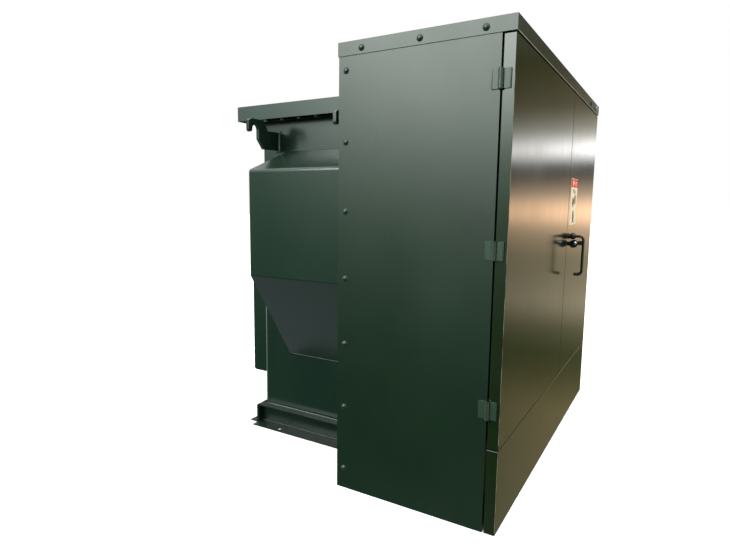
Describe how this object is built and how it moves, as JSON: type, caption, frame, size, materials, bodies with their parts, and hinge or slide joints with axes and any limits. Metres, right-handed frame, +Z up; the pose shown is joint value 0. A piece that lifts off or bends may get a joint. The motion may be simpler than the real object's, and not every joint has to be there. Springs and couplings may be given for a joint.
{
  "type": "pad-mounted transformer",
  "caption": "Pad-mounted distribution transformer: oil tank with cooling pockets and lifting lugs behind a lockable two-door terminal cabinet with a lift-off sill.",
  "frame": {"origin": "centre of the four tank anchor holes, on the pad", "axes": "+Z up; the cabinet doors face -Y; +X is to the right of someone facing the doors"},
  "size_m": [1.7014, 1.556, 1.625],
  "materials": {
    "green_paint": "semi-gloss",
    "zinc_steel": "zinc plated",
    "gasket_rubber": "matte",
    "core_steel": "laminated",
    "copper": "bare copper",
    "tinned_copper": "tinned",
    "winding_paper": "varnished insulating paper",
    "moulded_rubber": "satin",
    "red_insulator": "gloss",
    "porcelain": "glazed",
    "brass": "cast",
    "barrier_board": "glass-filled polyester board",
    "black_paint": "gloss",
    "black_plastic": "matte",
    "chrome": "polished",
    "dial_metal": "satin",
    "pointer_red": "satin"
  },
  "bodies": {
    "root": {"base_frame": "green_paint", "tank_shell": "green_paint", "tank_rim": "green_paint", "cooling_pockets": "green_paint", "rear_cooling_box": "green_paint", "lifting_lugs": "green_paint", "tank_cover": "green_paint", "centre_post": "green_paint", "cabinet_back": "green_paint", "left_side_panel": "green_paint", "right_side_panel": "green_paint", "cabinet_roof": "green_paint", "door_header": "green_paint", "cabinet_bolts": "green_paint", "frame_hinge_leaves": "green_paint", "latch_forks": "zinc_steel", "cover_bolts": "zinc_steel", "core_clamps": "zinc_steel", "tap_changer": "zinc_steel", "switch_body": "zinc_steel", "fill_plug": "zinc_steel", "hinge_pins": "zinc_steel", "cover_gasket": "gasket_rubber", "core": "core_steel", "lv_windings": "winding_paper", "hv_windings": "winding_paper", "hv_bushings": "moulded_rubber", "fuse_housings": "moulded_rubber", "hv_inserts": "red_insulator", "lv_bushings": "porcelain", "lv_spades": "tinned_copper", "drain_valve": "brass", "relief_valve": "brass", "ground_bar": "copper", "ground_strap": "copper", "compartment_barrier": "barrier_board", "gauge_cases": "dial_metal", "nameplate": "dial_metal"},
    "left_door": {"left_door": "green_paint", "left_door_stiffeners": "green_paint", "left_hinge_leaves": "green_paint"},
    "right_door": {"right_door": "green_paint", "right_door_stiffeners": "green_paint", "right_hinge_leaves": "green_paint", "handle_hub": "green_paint", "lock_body": "black_plastic"},
    "handle": {"door_handle": "black_paint"},
    "upper_rod": {"upper_latch_rod": "zinc_steel"},
    "lower_rod": {"lower_latch_rod": "zinc_steel"},
    "lock_plug": {"lock_plug": "chrome"},
    "sill": {"front_sill": "green_paint"},
    "tap_handle": {"tap_changer_handle": "red_insulator"},
    "switch_handle": {"switch_handle": "red_insulator"},
    "left_fuse": {"left_fuse": "moulded_rubber"},
    "middle_fuse": {"middle_fuse": "moulded_rubber"},
    "right_fuse": {"right_fuse": "moulded_rubber"},
    "drain_wheel": {"drain_valve_wheel": "red_insulator"},
    "relief_ring": {"relief_ring": "zinc_steel"},
    "level_pointer": {"level_pointer": "pointer_red"},
    "thermometer_pointer": {"thermometer_pointer": "pointer_red"}
  },
  "joints": [
    {"name": "left_door_hinge", "type": "hinge", "parent": "root", "child": "left_door", "pos_m": [-0.8427, -0.9045, 0.9345], "axis": [0, 0, -1], "range_deg": [0, 125]},
    {"name": "right_door_hinge", "type": "hinge", "parent": "root", "child": "right_door", "pos_m": [0.8427, -0.9045, 0.9345], "axis": [0, 0, 1], "range_deg": [0, 125]},
    {"name": "handle_turn", "type": "hinge", "parent": "right_door", "child": "handle", "pos_m": [0.166, -0.9445, 0.939], "axis": [0, -1, 0], "range_deg": [0, 90]},
    {"name": "upper_rod_slide", "type": "slide", "parent": "right_door", "child": "upper_rod", "axis": [0, 0, -1], "range_m": [0, 0.02848]},
    {"name": "lower_rod_slide", "type": "slide", "parent": "right_door", "child": "lower_rod", "axis": [0, 0, 1], "range_m": [0, 0.02848]},
    {"name": "lock_plug_turn", "type": "hinge", "parent": "right_door", "child": "lock_plug", "pos_m": [0.153, -0.9765, 0.908], "axis": [1, 0, 0], "range_deg": [0, 90]},
    {"name": "sill_pull", "type": "slide", "parent": "root", "child": "sill", "axis": [0, -1, 0], "range_m": [0, 0.12]},
    {"name": "tap_changer_turn", "type": "hinge", "parent": "root", "child": "tap_handle", "pos_m": [-0.385, -0.3575, 1.27], "axis": [0, -1, 0], "range_deg": [-60, 60]},
    {"name": "switch_turn", "type": "hinge", "parent": "root", "child": "switch_handle", "pos_m": [-0.225, -0.3575, 1.27], "axis": [0, -1, 0], "range_deg": [-90, 0]},
    {"name": "left_fuse_pull", "type": "slide", "parent": "root", "child": "left_fuse", "axis": [0, -1, 0], "range_m": [0, 0.15]},
    {"name": "middle_fuse_pull", "type": "slide", "parent": "root", "child": "middle_fuse", "axis": [0, -1, 0], "range_m": [0, 0.15]},
    {"name": "right_fuse_pull", "type": "slide", "parent": "root", "child": "right_fuse", "axis": [0, -1, 0], "range_m": [0, 0.15]},
    {"name": "drain_wheel_turn", "type": "hinge", "parent": "root", "child": "drain_wheel", "pos_m": [0.415, -0.3675, 0.238], "axis": [0, 0, 1], "range_deg": [0, 1080]},
    {"name": "relief_ring_swing", "type": "hinge", "parent": "root", "child": "relief_ring", "pos_m": [0.335, -0.3695, 1.1864], "axis": [1, 0, 0], "range_deg": [-8, 8]},
    {"name": "level_pointer_turn", "type": "hinge", "parent": "root", "child": "level_pointer", "pos_m": [0.265, -0.3515, 1.33], "axis": [0, -1, 0], "range_deg": [-60, 60]},
    {"name": "thermometer_pointer_turn", "type": "hinge", "parent": "root", "child": "thermometer_pointer", "pos_m": [0.405, -0.3515, 1.33], "axis": [0, -1, 0], "range_deg": [-190, 20]}
  ],
  "couplings": [
    {"joint": "upper_rod_slide", "follows": "handle_turn", "m_per_rad": 0.018006},
    {"joint": "lower_rod_slide", "follows": "handle_turn", "m_per_rad": 0.018006}
  ]
}
